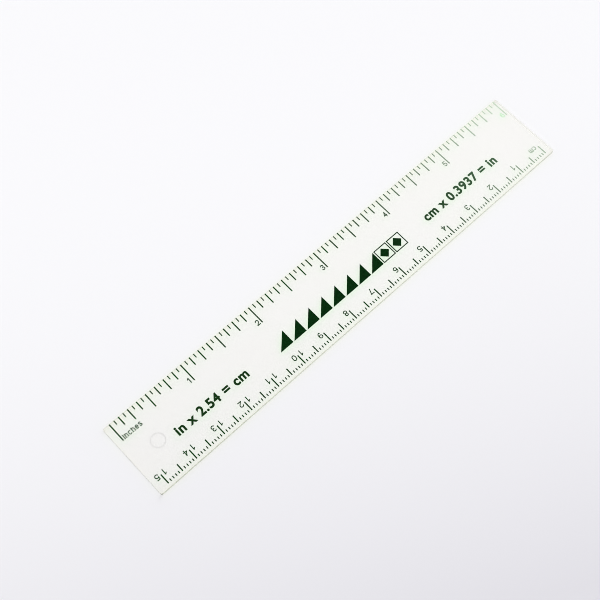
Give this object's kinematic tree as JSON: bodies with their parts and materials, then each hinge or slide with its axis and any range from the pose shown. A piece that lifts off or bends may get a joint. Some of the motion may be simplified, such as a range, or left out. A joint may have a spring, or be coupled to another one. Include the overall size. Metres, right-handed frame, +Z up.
{
  "type": "clear plastic ruler",
  "caption": "Flat clear plastic pocket ruler with an inch scale along one edge, a metric scale along the other and a printed patchwork band, for marking and measuring fabric.",
  "frame": {"origin": "middle of the blade's underside", "axes": "+X along the blade towards the high end of the inch scale, +Y across it towards the inch edge, +Z up out of the printed face"},
  "size_m": [0.156, 0.0242, 0.0013],
  "materials": {
    "clear_plastic": "clear moulded plastic, glossy, with a faint warm tint",
    "green_ink": "dark green printed ink film, satin"
  },
  "bodies": {
    "root": {"blade": "clear_plastic", "inch_scale_marks": "green_ink", "metric_scale_marks": "green_ink", "inch_numeral_1": "green_ink", "inch_numeral_2": "green_ink", "inch_numeral_3": "green_ink", "inch_numeral_4": "green_ink", "inch_numeral_5": "green_ink", "inch_numeral_6": "green_ink", "metric_numeral_1": "green_ink", "metric_numeral_2": "green_ink", "metric_numeral_3": "green_ink", "metric_numeral_4": "green_ink", "metric_numeral_5": "green_ink", "metric_numeral_6": "green_ink", "metric_numeral_7": "green_ink", "metric_numeral_8": "green_ink", "metric_numeral_9": "green_ink", "metric_numeral_10_tens": "green_ink", "metric_numeral_10_units": "green_ink", "metric_numeral_11_tens": "green_ink", "metric_numeral_11_units": "green_ink", "metric_numeral_12_tens": "green_ink", "metric_numeral_12_units": "green_ink", "metric_numeral_13_tens": "green_ink", "metric_numeral_13_units": "green_ink", "metric_numeral_14_tens": "green_ink", "metric_numeral_14_units": "green_ink", "metric_numeral_15_tens": "green_ink", "metric_numeral_15_units": "green_ink", "triangle_patch_1": "green_ink", "triangle_patch_2": "green_ink", "triangle_patch_3": "green_ink", "triangle_patch_4": "green_ink", "triangle_patch_5": "green_ink", "triangle_patch_6": "green_ink", "triangle_patch_7": "green_ink", "triangle_patch_8": "green_ink", "frame_patch_1": "green_ink", "diamond_patch_1": "green_ink", "frame_patch_2": "green_ink", "diamond_patch_2": "green_ink"}
  },
  "joints": []
}
